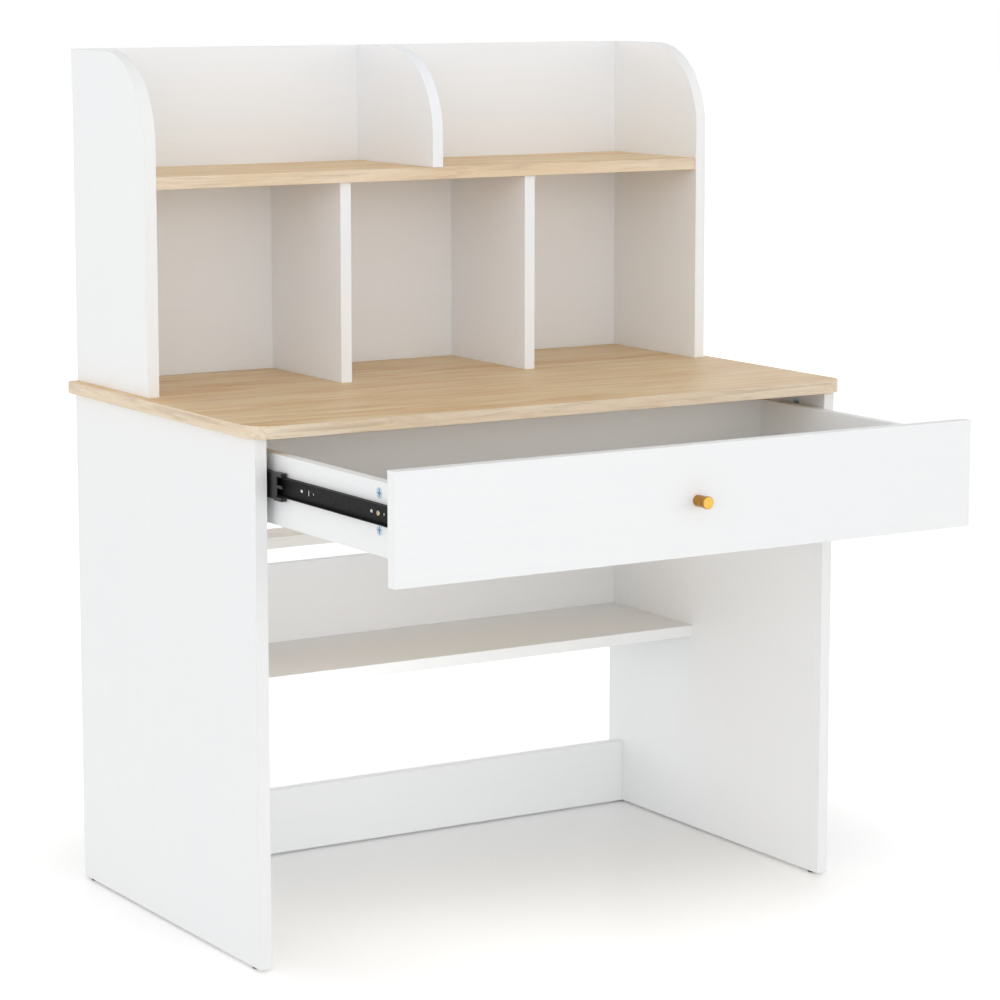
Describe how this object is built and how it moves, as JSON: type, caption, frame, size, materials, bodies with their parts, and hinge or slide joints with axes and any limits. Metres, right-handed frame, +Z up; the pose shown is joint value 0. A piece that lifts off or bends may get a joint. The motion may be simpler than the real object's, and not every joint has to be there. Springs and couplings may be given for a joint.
{
  "type": "student desk with hutch",
  "caption": "Free-standing writing desk with a full-width drawer, an open foot shelf and a bookcase hutch that stands on the back of the top.",
  "frame": {"origin": "on the floor under the middle of the whole desk, with its drawer open as stored", "axes": "+X to the right seen from the front, +Y to the back, +Z up"},
  "size_m": [1, 0.95, 1.256],
  "materials": {
    "white_laminate": "white melamine-faced chipboard, fine pressed grain, satin",
    "oak_laminate": "light oak melamine-faced chipboard, grain left to right, matt",
    "oak_edge_band": "light oak printed edge band, matt",
    "white_hardboard": "white-faced hardboard",
    "black_steel": "black electrophoretic coat, semi-gloss",
    "black_cage": "moulded black plastic",
    "ball_steel": "polished steel",
    "zinc_cam": "bright blue-passivated zinc",
    "plated_steel": "zinc-plated steel",
    "brass": "satin gold-toned brass",
    "beech_dowel": "fluted beech",
    "black_plastic": "black polyethylene"
  },
  "bodies": {
    "desk": {"bottom_stretcher": "white_laminate", "desk_cam_bolts": "plated_steel", "desk_cam_locks": "zinc_cam", "desk_dowels": "beech_dowel", "desktop": "oak_laminate", "desktop_edge_band": "oak_edge_band", "foot_glides": "black_plastic", "foot_shelf": "white_laminate", "hutch_back_panel": "white_laminate", "hutch_cam_bolts": "plated_steel", "hutch_cam_locks": "zinc_cam", "hutch_dowels": "beech_dowel", "hutch_left_side": "white_laminate", "hutch_lower_left_divider": "white_laminate", "hutch_lower_right_divider": "white_laminate", "hutch_right_side": "white_laminate", "hutch_screws": "plated_steel", "hutch_shelf": "oak_laminate", "hutch_shelf_edge_band": "oak_edge_band", "hutch_top_divider": "white_laminate", "left_cabinet_slide_screws": "plated_steel", "left_side_panel": "white_laminate", "left_slide_cabinet_member": "black_steel", "modesty_panel": "white_laminate", "rear_rail": "white_laminate", "right_cabinet_slide_screws": "plated_steel", "right_side_panel": "white_laminate", "right_slide_cabinet_member": "black_steel"},
    "drawer": {"drawer_back": "white_laminate", "drawer_back_screws": "plated_steel", "drawer_bottom": "white_hardboard", "drawer_cam_bolts": "plated_steel", "drawer_cam_locks": "zinc_cam", "drawer_front": "white_laminate", "drawer_knob": "brass", "drawer_left_side": "white_laminate", "drawer_right_side": "white_laminate", "knob_screw": "plated_steel", "left_drawer_slide_screws": "plated_steel", "left_slide_drawer_member": "black_steel", "right_drawer_slide_screws": "plated_steel", "right_slide_drawer_member": "black_steel"},
    "left_slide_cage": {"left_slide_balls": "ball_steel", "left_slide_cage": "black_cage"},
    "right_slide_cage": {"right_slide_balls": "ball_steel", "right_slide_cage": "black_cage"}
  },
  "joints": [
    {"name": "drawer_slide", "type": "slide", "parent": "desk", "child": "drawer", "axis": [0, -1, 0], "range_m": [-0.345, 0]},
    {"name": "left_cage_slide", "type": "slide", "parent": "desk", "child": "left_slide_cage", "axis": [0, -1, 0], "range_m": [-0.1725, 0]},
    {"name": "right_cage_slide", "type": "slide", "parent": "desk", "child": "right_slide_cage", "axis": [0, -1, 0], "range_m": [-0.1725, 0]}
  ],
  "couplings": [
    {"joint": "left_cage_slide", "follows": "drawer_slide", "ratio": 0.5},
    {"joint": "right_cage_slide", "follows": "drawer_slide", "ratio": 0.5}
  ]
}
